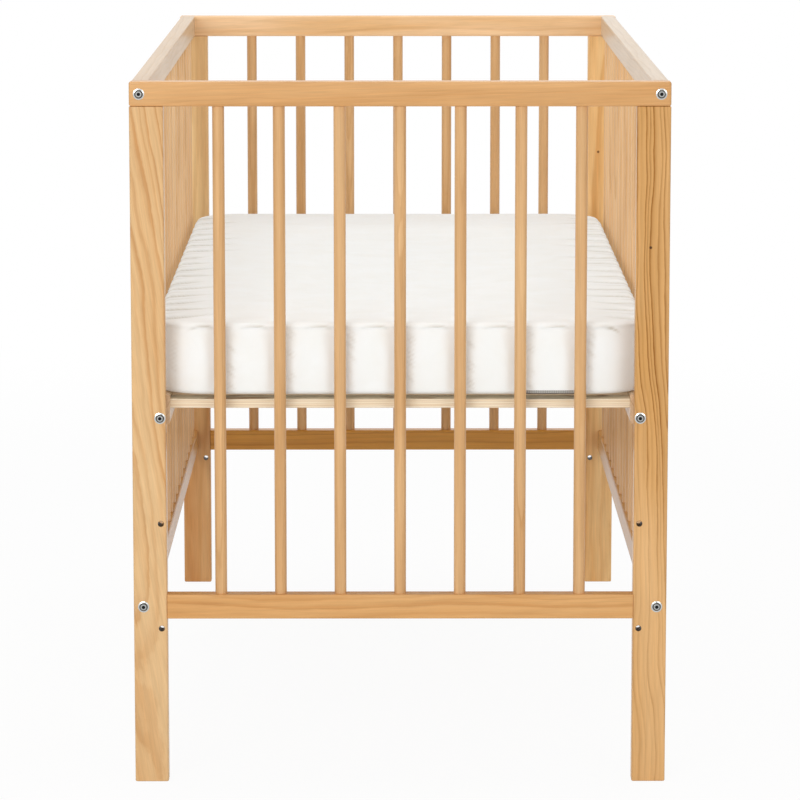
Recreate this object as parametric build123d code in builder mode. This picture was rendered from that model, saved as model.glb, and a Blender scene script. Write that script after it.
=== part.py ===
from build123d import *
import os

# A child's crib in solid pine, for a mattress of 600 x 1200 mm.
# Millimetres. X runs across the crib, Y along it and Z up, with the floor at Z 0.
# The front end panel is the one at -Y. Left is -X.

# Overall size, over the wood
crib_width = 650
crib_length = 1250
crib_height = 860

# End panels: two legs under a top rail, a bottom rail and a row of round bars
panel_thickness = 22
leg_width = 41
rail_height = 30
bottom_rail_top = 234
end_bar_count = 7
leg_edge_round = 2.5
leg_top_round = 1
leg_foot_round = 2
end_rail_round = 3
butt_rail_round = 2

# Side panels: two rails and a row of round bars, bolted between the end panels
side_thickness = 20
side_inset = 2
side_bar_count = 17

# Round bars, seated in blind holes in the rails
bar_diameter = 14.5
bar_seat_depth = 12
bar_end_chamfer = 1
glue_gap = 0.05

# Wooden pins that hold the glued corners of the end panels
pin_diameter = 6
pin_reach_in_rail = 15
pin_reach_in_leg = 18
leg_top_pins_from_side = (23, 34)
bottom_rail_pins_from_middle = (-7, 7)

# Bolts with a flanged button head, and the barrel nuts that they screw into
bolt_diameter = 6
bolt_hole_diameter = 7
side_bolt_length = 60
base_bolt_length = 45
bolt_hole_spare = 4
flange_diameter = 13.6
flange_thickness = 0.9
button_diameter = 10.4
button_height = 3.3
button_flat_diameter = 6.4
socket_width = 4
socket_depth = 2
nut_diameter = 10
side_nut_length = 14
base_nut_length = 10
side_nut_from_rail_end = 30
base_nut_from_rail_end = 15
nut_gap = 0.1
thread_gap = 0.05
side_bolt_from_side = 12

# Mattress base, bolted through the legs at one of three levels
base_level = 452
level_step = 130
level_count = 3
base_bolt_from_side = 34
base_rail_thickness = 22
base_rail_height = 35.5
base_bolt_above_rail_bottom = 10.5
base_rail_round = 2.5
base_clearance = 1

# Plywood slats, let into mortises in the base rails
slat_count = 22
slat_width = 33
slat_thickness = 11
slat_round = 1
slat_below_rail_top = 6.5
slat_from_rail_end = 10
slat_housing = 12
slat_gap = 0.1

# Mattress, which swells a little between the bars
mattress_height = 88
mattress_clearance = 1
mattress_rest_gap = 0.3
channel_depth = 7.5
mattress_corner_radius = 70
top_edge_round = 14
bottom_edge_round = 9
side_draw_in = 3

# Places worked out from those sizes
half_width = crib_width / 2
half_length = crib_length / 2
inner_half_length = half_length - panel_thickness
panel_middle_y = half_length - panel_thickness / 2
leg_height = crib_height - rail_height
leg_middle_x = half_width - leg_width / 2
leg_inner_x = half_width - leg_width
top_rail_middle_z = crib_height - rail_height / 2
bottom_rail_middle_z = bottom_rail_top - rail_height / 2
side_middle_x = half_width - side_inset - side_thickness / 2
side_inner_x = side_middle_x - side_thickness / 2
side_bolt_x = half_width - side_bolt_from_side
base_bolt_x = half_width - base_bolt_from_side
base_levels = [base_level - level_step * step for step in range(level_count)]
base_rail_outer_x = side_inner_x - base_clearance
base_rail_middle_x = base_rail_outer_x - base_rail_thickness / 2
base_rail_bottom = base_level - base_bolt_above_rail_bottom
base_rail_top = base_rail_bottom + base_rail_height
base_half_length = inner_half_length - base_clearance
slat_bottom = base_rail_top - slat_below_rail_top - slat_thickness
slat_half_span = base_rail_middle_x - base_rail_thickness / 2 + slat_housing
mattress_half_width = side_inner_x - mattress_clearance
mattress_half_length = inner_half_length - mattress_clearance
mattress_bottom = base_rail_top + mattress_rest_gap
mattress_top = mattress_bottom + mattress_height


def spread(opening, count, width):
    """Middles of pieces of one width, with equal gaps between them and at both ends."""
    gap = (opening - count * width) / (count + 1)
    return [(index - (count - 1) / 2) * (gap + width) for index in range(count)]


end_bar_places = spread(2 * leg_inner_x, end_bar_count, bar_diameter)
side_bar_places = spread(2 * inner_half_length, side_bar_count, bar_diameter)
slat_run = 2 * (base_half_length - slat_from_rail_end) - slat_width
slat_places = [slat_run * (index / (slat_count - 1) - 0.5) for index in range(slat_count)]

side_names = {"left": -1, "right": 1}
end_names = {"front": -1, "back": 1}
pieces = {}


def leg(side, end):
    """One leg, upright, with its bolt holes running through it along Y."""
    middle = (side * leg_middle_x, end * panel_middle_y)
    holes = [(side * base_bolt_x, level) for level in base_levels]
    holes.append((side * side_bolt_x, bottom_rail_middle_z))
    with BuildPart() as piece:
        with BuildSketch(Plane.XY):
            with Locations(middle):
                RectangleRounded(leg_width, panel_thickness, leg_edge_round)
        extrude(amount=leg_height)
        fillet(piece.faces().sort_by(Axis.Z)[-1].edges(), leg_top_round)
        fillet(piece.faces().sort_by(Axis.Z)[0].edges(), leg_foot_round)
        with BuildSketch(Plane.XZ.offset(-end * half_length)):
            with Locations(*holes):
                Circle(bolt_hole_diameter / 2)
        extrude(amount=end * panel_thickness, mode=Mode.SUBTRACT)
        # Holes for the two pins that stand in the leg's top
        with BuildSketch(Plane.XY.offset(leg_height)):
            with Locations(*leg_top_pin_places(side, end)):
                Circle(pin_diameter / 2 + glue_gap)
        extrude(amount=-pin_reach_in_rail, mode=Mode.SUBTRACT)
        # Holes for the two level pins of the bottom rail
        with BuildSketch(Plane.YZ.offset(side * leg_inner_x)):
            with Locations(*bottom_rail_pin_places(end)):
                Circle(pin_diameter / 2 + glue_gap)
        extrude(amount=side * pin_reach_in_leg, mode=Mode.SUBTRACT)
    return piece.part


def leg_top_pin_places(side, end):
    """Plan places of the two pins between a leg and the top rail."""
    return [(side * (half_width - inset), end * panel_middle_y) for inset in leg_top_pins_from_side]


def bottom_rail_pin_places(end):
    """Places in the YZ plane of the two pins between a leg and the bottom rail."""
    return [(end * panel_middle_y, bottom_rail_middle_z + rise) for rise in bottom_rail_pins_from_middle]


def end_top_rail(end):
    """The rail over the leg tops, rounded all round, with bar seats and pin holes below."""
    underside = Plane.XY.offset(crib_height - rail_height)
    with BuildPart() as piece:
        with BuildSketch(underside):
            with Locations((0, end * panel_middle_y)):
                Rectangle(crib_width, panel_thickness)
        extrude(amount=rail_height)
        fillet(piece.edges(), end_rail_round)
        with BuildSketch(underside):
            with Locations(*[(x, end * panel_middle_y) for x in end_bar_places]):
                Circle(bar_diameter / 2 + glue_gap)
        extrude(amount=bar_seat_depth, mode=Mode.SUBTRACT)
        with BuildSketch(underside):
            for side in side_names.values():
                with Locations(*leg_top_pin_places(side, end)):
                    Circle(pin_diameter / 2 + glue_gap)
        extrude(amount=pin_reach_in_rail, mode=Mode.SUBTRACT)
        with BuildSketch(Plane.XZ.offset(-end * half_length)):
            with Locations(*[(side * side_bolt_x, top_rail_middle_z) for side in side_names.values()]):
                Circle(bolt_hole_diameter / 2)
        extrude(amount=end * panel_thickness, mode=Mode.SUBTRACT)
    return piece.part


def end_bottom_rail(end):
    """The rail between the legs, with bar seats in its top and pin holes in its ends."""
    with BuildPart() as piece:
        with BuildSketch(Plane.YZ.offset(-leg_inner_x)):
            with Locations((end * panel_middle_y, bottom_rail_middle_z)):
                RectangleRounded(panel_thickness, rail_height, butt_rail_round)
        extrude(amount=2 * leg_inner_x)
        with BuildSketch(Plane.XY.offset(bottom_rail_top)):
            with Locations(*[(x, end * panel_middle_y) for x in end_bar_places]):
                Circle(bar_diameter / 2 + glue_gap)
        extrude(amount=-bar_seat_depth, mode=Mode.SUBTRACT)
        for side in side_names.values():
            with BuildSketch(Plane.YZ.offset(side * leg_inner_x)):
                with Locations(*bottom_rail_pin_places(end)):
                    Circle(pin_diameter / 2 + glue_gap)
            extrude(amount=-side * pin_reach_in_rail, mode=Mode.SUBTRACT)
    return piece.part


def side_rail(side, middle_z, seat_plane, seat_depth):
    """A side panel's rail, with bar seats, a bolt hole in each end and barrel nut holes below."""
    middle_x = side * side_middle_x
    nut_y = inner_half_length - side_nut_from_rail_end
    hole_depth = side_bolt_length - panel_thickness + bolt_hole_spare
    nut_hole_depth = rail_height / 2 + side_nut_length / 2
    with BuildPart() as piece:
        with BuildSketch(Plane.XZ.offset(inner_half_length)):
            with Locations((middle_x, middle_z)):
                RectangleRounded(side_thickness, rail_height, butt_rail_round)
        extrude(amount=-2 * inner_half_length)
        with BuildSketch(seat_plane):
            with Locations(*[(middle_x, y) for y in side_bar_places]):
                Circle(bar_diameter / 2 + glue_gap)
        extrude(amount=seat_depth, mode=Mode.SUBTRACT)
        for end in end_names.values():
            with BuildSketch(Plane.XZ.offset(-end * inner_half_length)):
                with Locations((side * side_bolt_x, middle_z)):
                    Circle(bolt_hole_diameter / 2)
            extrude(amount=end * hole_depth, mode=Mode.SUBTRACT)
        with BuildSketch(Plane.XY.offset(middle_z - rail_height / 2)):
            with Locations((side * side_bolt_x, -nut_y), (side * side_bolt_x, nut_y)):
                Circle(nut_diameter / 2 + nut_gap)
        extrude(amount=nut_hole_depth, mode=Mode.SUBTRACT)
    return piece.part


def bars(places):
    """Round bars that stand from the bottom rail's seats to the top rail's seats."""
    foot = bottom_rail_top - bar_seat_depth
    head = crib_height - rail_height + bar_seat_depth
    with BuildPart() as piece:
        with BuildSketch(Plane.XY.offset(foot)):
            with Locations(*places):
                Circle(bar_diameter / 2)
        extrude(amount=head - foot)
        rims = piece.edges().filter_by(GeomType.CIRCLE)
        chamfer(rims, bar_end_chamfer)
    return piece.part


def base_rail(side):
    """A side rail of the mattress base, with mortises for the slats and bolt holes in its ends."""
    middle_x = side * base_rail_middle_x
    inner_x = side * (base_rail_middle_x - base_rail_thickness / 2)
    nut_y = base_half_length - base_nut_from_rail_end
    hole_depth = base_bolt_length - panel_thickness - base_clearance + bolt_hole_spare
    nut_hole_depth = base_bolt_above_rail_bottom + base_nut_length / 2
    with BuildPart() as piece:
        with BuildSketch(Plane.XZ.offset(base_half_length)):
            with Locations((middle_x, base_rail_bottom + base_rail_height / 2)):
                RectangleRounded(base_rail_thickness, base_rail_height, base_rail_round)
        extrude(amount=-2 * base_half_length)
        with BuildSketch(Plane.YZ.offset(inner_x)):
            with Locations(*[(y, slat_bottom + slat_thickness / 2 + slat_gap / 2) for y in slat_places]):
                Rectangle(slat_width + 2 * slat_gap, slat_thickness + slat_gap)
        extrude(amount=side * slat_housing, mode=Mode.SUBTRACT)
        for end in end_names.values():
            with BuildSketch(Plane.XZ.offset(-end * base_half_length)):
                with Locations((side * base_bolt_x, base_level)):
                    Circle(bolt_hole_diameter / 2)
            extrude(amount=end * hole_depth, mode=Mode.SUBTRACT)
        with BuildSketch(Plane.XY.offset(base_rail_bottom)):
            with Locations((side * base_bolt_x, -nut_y), (side * base_bolt_x, nut_y)):
                Circle(nut_diameter / 2 + nut_gap)
        extrude(amount=nut_hole_depth, mode=Mode.SUBTRACT)
    return piece.part


def slat(middle_y):
    """One plywood slat, its long edges eased, lying in the two base rails."""
    with BuildPart() as piece:
        with BuildSketch(Plane.YZ.offset(-slat_half_span)):
            with Locations((middle_y, slat_bottom + slat_thickness / 2)):
                RectangleRounded(slat_width, slat_thickness, slat_round)
        extrude(amount=2 * slat_half_span)
    return piece.part


def bolt(length):
    """A bolt standing on the XY plane with its head up: shank, flange, button and hexagon socket."""
    shank_radius = bolt_diameter / 2
    button_radius = button_diameter / 2
    flat_radius = button_flat_diameter / 2
    shoulder = (flat_radius * 0.4 + button_radius * 0.6, button_height * 0.75)
    with BuildPart() as piece:
        with BuildSketch(Plane.XZ):
            with BuildLine():
                Polyline(
                    (0, button_height),
                    (0, -length),
                    (shank_radius, -length),
                    (shank_radius, 0),
                    (flange_diameter / 2, 0),
                    (flange_diameter / 2, flange_thickness / 2),
                    (button_radius, flange_thickness),
                )
                ThreePointArc((button_radius, flange_thickness), shoulder, (flat_radius, button_height))
                Line((flat_radius, button_height), (0, button_height))
            make_face()
        revolve(axis=Axis.Z)
        with BuildSketch(Plane.XY.offset(button_height)):
            RegularPolygon(socket_width / 2, 6, major_radius=False)
        extrude(amount=-socket_depth, mode=Mode.SUBTRACT)
    return piece.part


def bolts(pattern, places):
    """Copies of a bolt, with their flanges on the end panels' outer faces."""
    with BuildPart() as piece:
        for x, end, z in places:
            seat = Plane(origin=(x, end * half_length, z), x_dir=(1, 0, 0), z_dir=(0, end, 0))
            with Locations(seat):
                add(pattern)
    return piece.part


def barrel_nuts(length, x, y, levels):
    """Upright barrel nuts at four corners, each with a hole across it for its bolt."""
    with BuildPart() as piece:
        for level in levels:
            with BuildSketch(Plane.XY.offset(level - length / 2)):
                with GridLocations(2 * x, 2 * y, 2, 2):
                    Circle(nut_diameter / 2)
            extrude(amount=length)
        with BuildSketch(Plane.XZ.offset(half_length)):
            for level in levels:
                with Locations((-x, level), (x, level)):
                    Circle(bolt_diameter / 2 + thread_gap)
        extrude(amount=-2 * half_length, mode=Mode.SUBTRACT)
    return piece.part


def cushion_section(half_span):
    """Closed outline of the mattress cut across: full sides, rounded edges, level top and bottom."""
    waist = half_span - side_draw_in
    middle_z = (mattress_bottom + mattress_top) / 2
    low = mattress_bottom + bottom_edge_round
    high = mattress_top - top_edge_round
    with BuildLine() as outline:
        for way in side_names.values():
            foot = (way * (waist - bottom_edge_round), mattress_bottom)
            crown = (way * (waist - top_edge_round), mattress_top)
            Line((0, mattress_bottom), foot)
            RadiusArc(foot, (way * waist, low), -way * bottom_edge_round)
            ThreePointArc((way * waist, low), (way * half_span, middle_z), (way * waist, high))
            RadiusArc((way * waist, high), crown, -way * top_edge_round)
            Line(crown, (0, mattress_top))
    return outline.line


def swells(places, reach, corner, along_y):
    """Arcs that swell out to the reach between channels at the bars, and lines from there to the corners."""
    low = reach - channel_depth
    half_pitch = (places[1] - places[0]) / 2
    turn = -1 if along_y else 1
    for way in side_names.values():
        for near, far in zip(places, places[1:]):
            points = [(near, way * low), (near + half_pitch, way * reach), (far, way * low)]
            ThreePointArc(*[point[::turn] for point in points])
        for outward, last in ((-1, places[0]), (1, places[-1])):
            peak = (last + outward * half_pitch, way * reach)
            foot = (last, way * low)
            TangentArc(peak[::turn], foot[::turn], tangent=(-outward, 0)[::turn])
            Line(peak[::turn], (outward * corner, way * reach)[::turn])


# The end panels
for end_name, end in end_names.items():
    pieces[f"{end_name}_top_rail"] = end_top_rail(end)
    pieces[f"{end_name}_bottom_rail"] = end_bottom_rail(end)
    for side_name, side in side_names.items():
        pieces[f"{end_name}_{side_name}_leg"] = leg(side, end)
    for index, x in enumerate(end_bar_places):
        pieces[f"{end_name}_bar_{index + 1}"] = bars([(x, end * panel_middle_y)])

with BuildPart() as corner_pins:
    for end in end_names.values():
        for side in side_names.values():
            with BuildSketch(Plane.XY.offset(leg_height - pin_reach_in_rail)):
                with Locations(*leg_top_pin_places(side, end)):
                    Circle(pin_diameter / 2)
            extrude(amount=2 * pin_reach_in_rail)
            with BuildSketch(Plane.YZ.offset(side * (leg_inner_x - pin_reach_in_rail))):
                with Locations(*bottom_rail_pin_places(end)):
                    Circle(pin_diameter / 2)
            extrude(amount=side * (pin_reach_in_rail + pin_reach_in_leg))
pieces["corner_pins"] = corner_pins.part

# The side panels
for side_name, side in side_names.items():
    pieces[f"{side_name}_side_top_rail"] = side_rail(
        side, top_rail_middle_z, Plane.XY.offset(crib_height - rail_height), bar_seat_depth
    )
    pieces[f"{side_name}_side_bottom_rail"] = side_rail(
        side, bottom_rail_middle_z, Plane.XY.offset(bottom_rail_top), -bar_seat_depth
    )
    pieces[f"{side_name}_side_bars"] = bars([(side * side_middle_x, y) for y in side_bar_places])

# The mattress base
for side_name, side in side_names.items():
    pieces[f"{side_name}_base_rail"] = base_rail(side)
for index, y in enumerate(slat_places):
    pieces[f"slat_{index + 1:02d}"] = slat(y)

# The bolts and their barrel nuts
side_bolt_places = [
    (side * side_bolt_x, end, z)
    for side in side_names.values()
    for end in end_names.values()
    for z in (bottom_rail_middle_z, top_rail_middle_z)
]
pieces["side_panel_bolts"] = bolts(bolt(side_bolt_length), side_bolt_places)
for end_name, end in end_names.items():
    pieces[f"{end_name}_base_bolts"] = bolts(
        bolt(base_bolt_length), [(side * base_bolt_x, end, base_level) for side in side_names.values()]
    )
pieces["side_panel_barrel_nuts"] = barrel_nuts(
    side_nut_length,
    side_bolt_x,
    inner_half_length - side_nut_from_rail_end,
    (bottom_rail_middle_z, top_rail_middle_z),
)
pieces["base_barrel_nuts"] = barrel_nuts(
    base_nut_length, base_bolt_x, base_half_length - base_nut_from_rail_end, (base_level,)
)

# The mattress: two cushion sections crossed, then cut to a plan with a channel at each bar
with BuildPart() as mattress:
    with BuildSketch(Plane.XZ):
        make_face(cushion_section(mattress_half_width).edges())
    extrude(amount=mattress_half_length, both=True)
    with BuildSketch(Plane.YZ):
        make_face(cushion_section(mattress_half_length).edges())
    extrude(amount=mattress_half_width, both=True, mode=Mode.INTERSECT)
    with BuildSketch(Plane.XY.offset(mattress_bottom)):
        with BuildLine():
            swells(end_bar_places, mattress_half_length, mattress_half_width, False)
            swells(side_bar_places, mattress_half_width, mattress_half_length, True)
        make_face()
        RectangleRounded(
            2 * mattress_half_width, 2 * mattress_half_length, mattress_corner_radius, mode=Mode.INTERSECT
        )
    extrude(amount=mattress_height, mode=Mode.INTERSECT)
pieces["mattress"] = mattress.part

os.makedirs("parts", exist_ok=True)
for name, piece in pieces.items():
    piece.label = name
    export_step(piece, f"parts/{name}.step")
print(len(pieces), "nodes")
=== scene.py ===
import math

import bpy
import numpy as np
from mathutils import Euler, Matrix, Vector


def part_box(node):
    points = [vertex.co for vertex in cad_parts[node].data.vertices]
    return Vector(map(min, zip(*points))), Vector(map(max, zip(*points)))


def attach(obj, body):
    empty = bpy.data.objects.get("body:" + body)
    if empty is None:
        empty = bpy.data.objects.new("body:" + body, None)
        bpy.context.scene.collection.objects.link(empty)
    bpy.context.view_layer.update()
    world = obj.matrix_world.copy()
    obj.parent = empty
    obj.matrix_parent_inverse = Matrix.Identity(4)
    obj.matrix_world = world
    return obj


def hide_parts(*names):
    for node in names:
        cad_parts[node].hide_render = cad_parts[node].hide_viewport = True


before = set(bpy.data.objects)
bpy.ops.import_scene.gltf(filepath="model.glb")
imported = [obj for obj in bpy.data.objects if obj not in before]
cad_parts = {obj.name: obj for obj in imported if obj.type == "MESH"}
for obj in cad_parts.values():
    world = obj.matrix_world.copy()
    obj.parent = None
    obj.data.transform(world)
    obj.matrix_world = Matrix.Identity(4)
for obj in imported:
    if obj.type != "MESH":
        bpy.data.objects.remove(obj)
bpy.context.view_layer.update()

# A pine crib seen from one end. Metres, the same frame as the solids: X across, Y along, Z up.
print("frame loaded:", len(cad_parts), "nodes")


# ---- small helpers
def linearColour(hexCode):
    # sRGB hex to linear, channel by channel
    parts = [int(hexCode[i:i + 2], 16) / 255 for i in (1, 3, 5)]
    return [c / 12.92 if c <= 0.04045 else ((c + 0.055) / 1.055) ** 2.4 for c in parts] + [1.0]


def addNode(tree, kind, inputs=None, **settings):
    # an input is a value, a socket, or a node, whose first output is then linked
    node = tree.nodes.new(kind)
    for key, value in settings.items():
        setattr(node, key, value)
    for key, value in (inputs or {}).items():
        if isinstance(value, bpy.types.Node):
            value = value.outputs[0]
        if isinstance(value, bpy.types.NodeSocket):
            tree.links.new(value, node.inputs[key])
        else:
            node.inputs[key].default_value = value
    return node


def newMaterial(name):
    material = bpy.data.materials.new(name)
    material.use_nodes = True
    tree = material.node_tree
    tree.nodes.clear()
    return material, tree, addNode(tree, "ShaderNodeOutputMaterial")


def greySteps(elements, steps):
    # levels of grey at places from 0 to 1 along a colour ramp
    while len(elements) < len(steps):
        elements.new(0.5)
    for element, (position, level) in zip(elements, steps):
        element.position = position
        element.color = (level, level, level, 1)


# ---- camera: stands off one end, a little above the crib, and looks slightly down
cameraSettings = {
    "place": (-0.0133, -5.5411, 1.2509), "pitchDown": 8.975, "turn": -0.153,
    "lens": 185.0, "sensorWidth": 36, "farthest": 200,
}
camera = bpy.data.objects.new("camera", bpy.data.cameras.new("camera"))
bpy.context.scene.collection.objects.link(camera)
camera.location = cameraSettings["place"]
camera.rotation_euler = [math.radians(angle) for angle in
                         (90 - cameraSettings["pitchDown"], 0, cameraSettings["turn"])]
camera.data.sensor_width = cameraSettings["sensorWidth"]
camera.data.lens = cameraSettings["lens"]
camera.data.clip_end = cameraSettings["farthest"]
bpy.context.scene.camera = camera

# ---- floor, world and lamps: white studio, soft from all round, a little stronger from the upper left
studio = {
    "floorSize": 60, "floorColour": "#F2F2F2", "floorShow": 0.94, "floorFade": (1.4, 3.2),
    "ambient": 0.46, "backdrop": 1.0,
    "lamps": {
        "softBoxLeft": {"place": (-1.6, -4.6, 1.8), "aim": (0, 0, 0.5), "size": (2.4, 1.2), "watts": 70},
        "softBoxRight": {"place": (2.4, -4.7, 1.8), "aim": (0, 0, 0.5), "size": (2.4, 1.0), "watts": 30},
        "softBoxTop": {"place": (0.0, 0.5, 3.4), "aim": (0, 0.1, 0.4), "size": (3.2, 3.0), "watts": 48},
    },
}


def seenDirectly(tree):
    # 1 for what the eye sees, also in metal and through glass, and 0 for the light that falls on the crib
    rays = addNode(tree, "ShaderNodeLightPath").outputs
    seen = addNode(tree, "ShaderNodeMath", {0: rays["Is Camera Ray"], 1: rays["Is Glossy Ray"]},
                   operation="MAXIMUM")
    return addNode(tree, "ShaderNodeMath", {0: seen, 1: rays["Is Transmission Ray"]}, operation="MAXIMUM")


floorMesh = bpy.data.meshes.new("floor")
half = studio["floorSize"] / 2
floorCorners = [(-half, -half, 0), (half, -half, 0), (half, half, 0), (-half, half, 0)]
floorMesh.from_pydata(floorCorners, [], [(0, 1, 2, 3)])
floor = bpy.data.objects.new("floor", floorMesh)
bpy.context.scene.collection.objects.link(floor)

# the floor glows white where it is seen, a little less under the crib, so that its shadow shows
material, tree, output = newMaterial("matt white studio floor")
matt = addNode(tree, "ShaderNodeBsdfDiffuse", {"Color": linearColour(studio["floorColour"])})
glow = addNode(tree, "ShaderNodeEmission", {"Color": (1, 1, 1, 1), "Strength": studio["backdrop"]})
place = addNode(tree, "ShaderNodeTexCoord").outputs["Object"]
away = addNode(tree, "ShaderNodeVectorMath", {0: place}, operation="LENGTH").outputs["Value"]
show = addNode(
    tree, "ShaderNodeMapRange",
    {"Value": away, "From Min": studio["floorFade"][0], "From Max": studio["floorFade"][1],
     "To Min": studio["floorShow"], "To Max": 1.0},
    interpolation_type="SMOOTHSTEP",
)
share = addNode(tree, "ShaderNodeMath", {0: seenDirectly(tree), 1: show}, operation="MULTIPLY")
surface = addNode(tree, "ShaderNodeMixShader", {0: share, 1: matt, 2: glow})
tree.links.new(surface.outputs[0], output.inputs["Surface"])
floorMesh.materials.append(material)

world = bpy.data.worlds.new("white studio")
bpy.context.scene.world = world
world.use_nodes = True
tree = world.node_tree
tree.nodes.clear()
level = addNode(tree, "ShaderNodeMapRange",
                {"Value": seenDirectly(tree), "To Min": studio["ambient"], "To Max": studio["backdrop"]})
light = addNode(tree, "ShaderNodeBackground", {"Color": (1, 1, 1, 1), "Strength": level})
addNode(tree, "ShaderNodeOutputWorld", {"Surface": light})

for name, lamp in studio["lamps"].items():
    data = bpy.data.lights.new(name, "AREA")
    data.shape = "RECTANGLE"
    data.size, data.size_y = lamp["size"]
    data.energy = lamp["watts"]
    lampObject = bpy.data.objects.new(name, data)
    lampObject.location = lamp["place"]
    aim = Vector(lamp["aim"]) - Vector(lamp["place"])
    lampObject.rotation_euler = aim.to_track_quat("-Z", "Y").to_euler()
    bpy.context.scene.collection.objects.link(lampObject)
print("camera and studio made")

bpy.context.scene.view_settings.view_transform = "Standard"


# ---- lacquered pine
# Planed softwood under a clear satin lacquer. Pale early wood with darker late wood lines, which open
# into long waves where a ring runs out through a face, and a soft shine that pales the wood at low angles.
# Rings are cylinders round a pith that lies beside the piece and leans a little to its length.
grainTurns = {
    "X": Euler((0, math.radians(-90), 0)),
    "Y": Euler((math.radians(90), 0, 0)),
    "Z": Euler((0, 0, 0)),
}
pineGrain = {
    # noise across the log, twice, and along it, in turns a metre, then its detail and roughness
    "patterns": {
        "wave": ((13, 13, 4.5), 2, 0.45), "jitter": ((150, 150, 28), 3, 0.6),
        "tone": ((26, 26, 3.2), 3, 0.55), "fibre": ((750, 750, 16), 2, 0.6),
        "streak": ((230, 230, 5), 2, 0.5),
    },
    "jitter": 2.4, "yearsPerMetre": 45, "yearsShift": 0.018,
    # early wood darkens slowly into late wood, which ends sharply
    "ringSteps": ((0.0, 0.3), (0.1, 0.02), (0.35, 0.08), (0.6, 0.36), (0.8, 0.9), (0.9, 1.0), (1.0, 0.3)),
    "ringStrength": (0.25, 0.8), "toneSpan": (0.32, 0.68), "toneStrength": (0.7, 0.5),
    "fibreTint": (0.91, 1.07), "roughness": (0.40, 0.50), "lacquer": 0.5, "lacquerRoughness": 0.2,
    "ringRelief": 0.06, "relief": 0.22, "reliefDepth": 0.0002,
}


def logPlacement(look):
    # the piece's length goes to the log's Z, then it leans and moves away from the pith
    lean = Euler((math.radians(look["lean"][0]), math.radians(look["lean"][1]), 0)).to_matrix()
    turn = lean @ grainTurns[look["along"]].to_matrix()
    place = Vector((*look["pith"], 0.0)) / 1000 - turn @ Vector(look["centre"])
    return place, turn.to_euler()


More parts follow.
